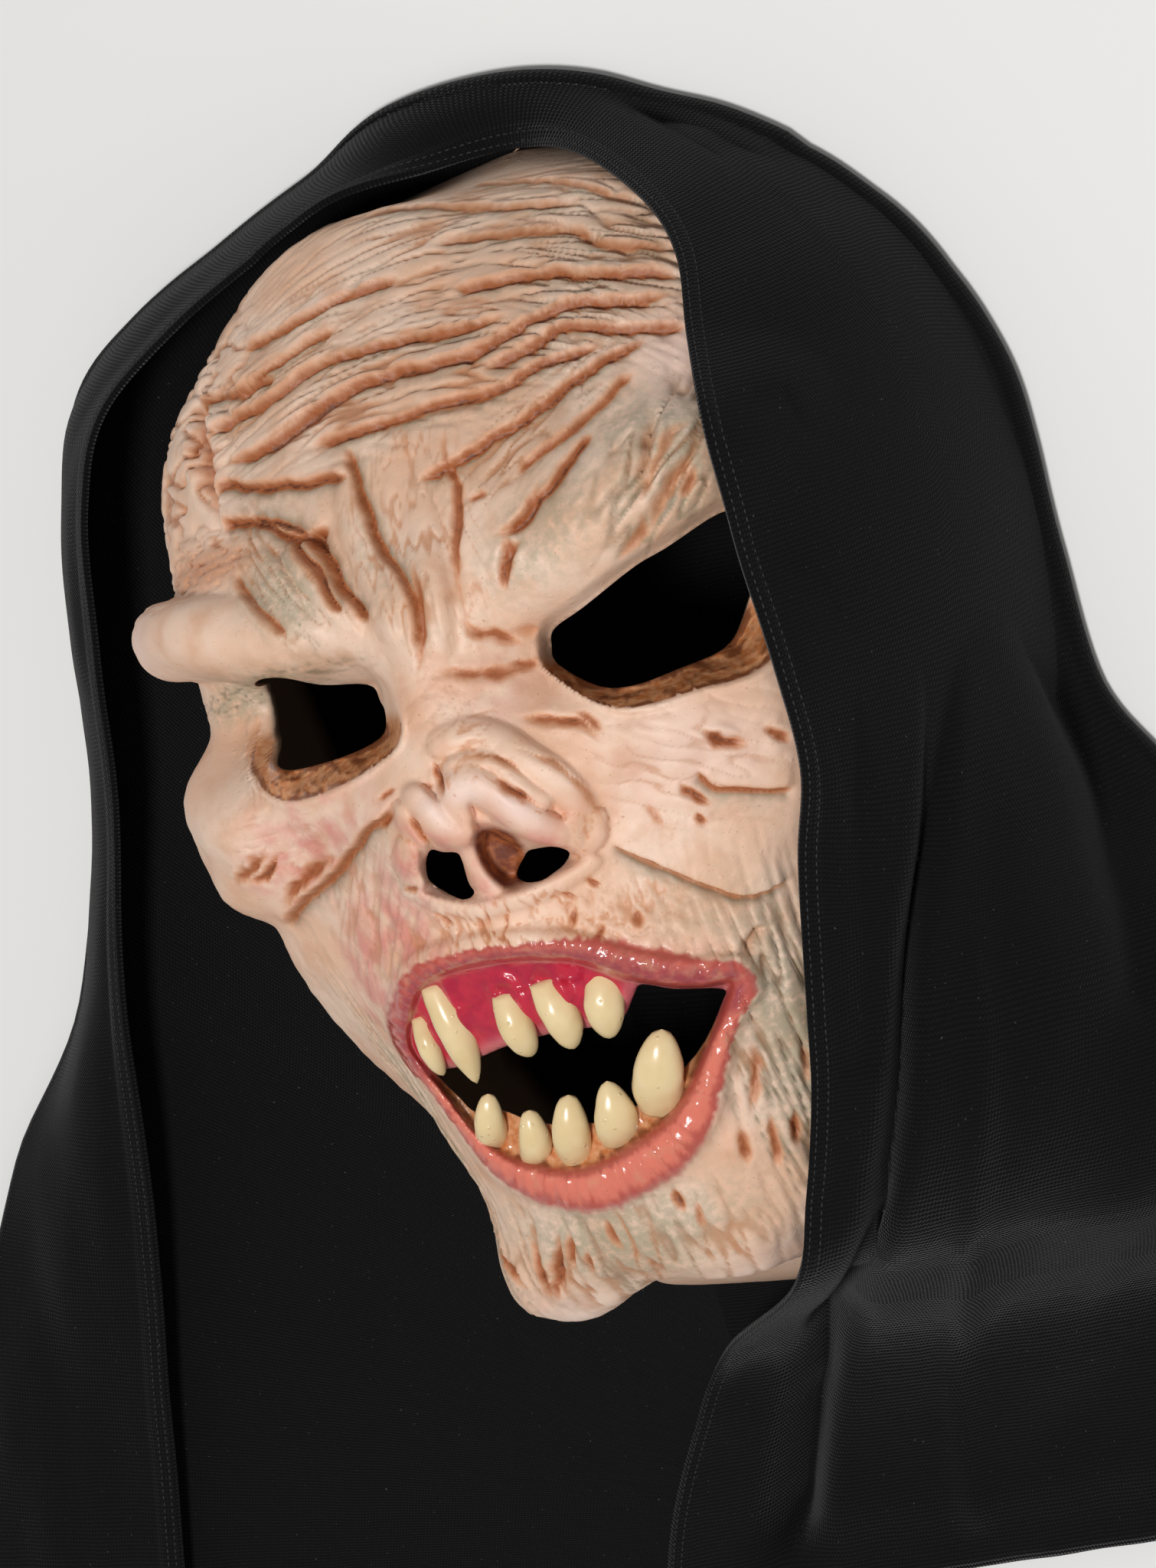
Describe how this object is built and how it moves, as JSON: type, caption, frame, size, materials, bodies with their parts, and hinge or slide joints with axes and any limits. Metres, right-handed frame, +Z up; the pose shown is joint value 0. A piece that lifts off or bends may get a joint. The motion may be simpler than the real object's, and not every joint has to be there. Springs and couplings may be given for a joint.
{
  "type": "monster mask",
  "caption": "Latex monster mask with wrinkled skin, snarling mouth and crooked teeth, set in a black knitted hood.",
  "frame": {"origin": "middle of the bounding box, on the underside of the hood's back cloth", "axes": "+Z up out of the face as the mask lies on its back, +X towards the wearer's left, +Y towards the crown"},
  "size_m": [0.4349, 0.3413, 0.116],
  "materials": {
    "latex": "satin",
    "knit": "matte"
  },
  "bodies": {
    "root": {"latex_mask": "latex", "hood": "knit"}
  },
  "joints": []
}
